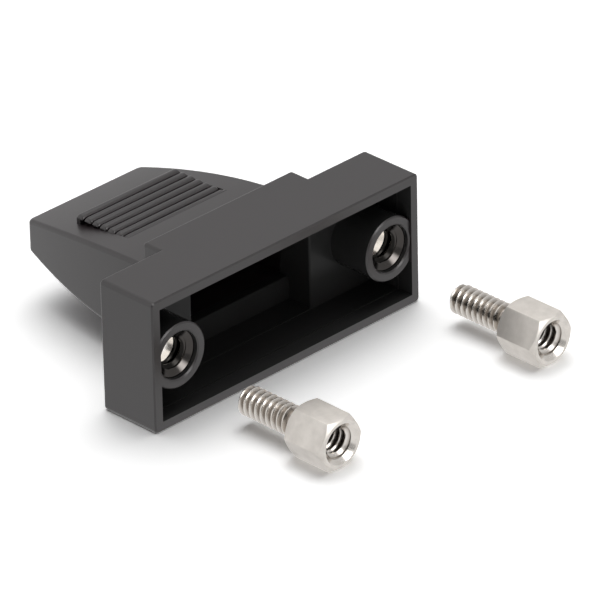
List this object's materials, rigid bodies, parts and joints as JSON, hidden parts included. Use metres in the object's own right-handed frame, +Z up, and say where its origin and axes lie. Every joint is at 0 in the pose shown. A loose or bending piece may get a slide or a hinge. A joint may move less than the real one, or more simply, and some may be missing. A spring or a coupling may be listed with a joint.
{
  "type": "d-sub hood",
  "caption": "Closed wedge-shaped plastic hood for a D-sub connector, with finger grips and threaded inserts, and its hex standoffs lying in front.",
  "frame": {"origin": "centre of the hood's mating face, midway between the two screw axes", "axes": "+X along the flange, +Y back along the wedge, away from the connector, +Z up; it stands on its flange's side"},
  "size_m": [0.0336, 0.0406, 0.0122],
  "materials": {
    "hood_plastic": "fine matte texture outside, smoother and glossier inside",
    "insert_metal": "turned brass, nickel plated",
    "standoff_metal": "turned steel, nickel plated, satin"
  },
  "bodies": {
    "root": {"hood_shell": "hood_plastic", "thread_insert_left": "insert_metal", "thread_insert_right": "insert_metal", "hex_standoff_left": "standoff_metal", "hex_standoff_right": "standoff_metal"}
  },
  "joints": []
}
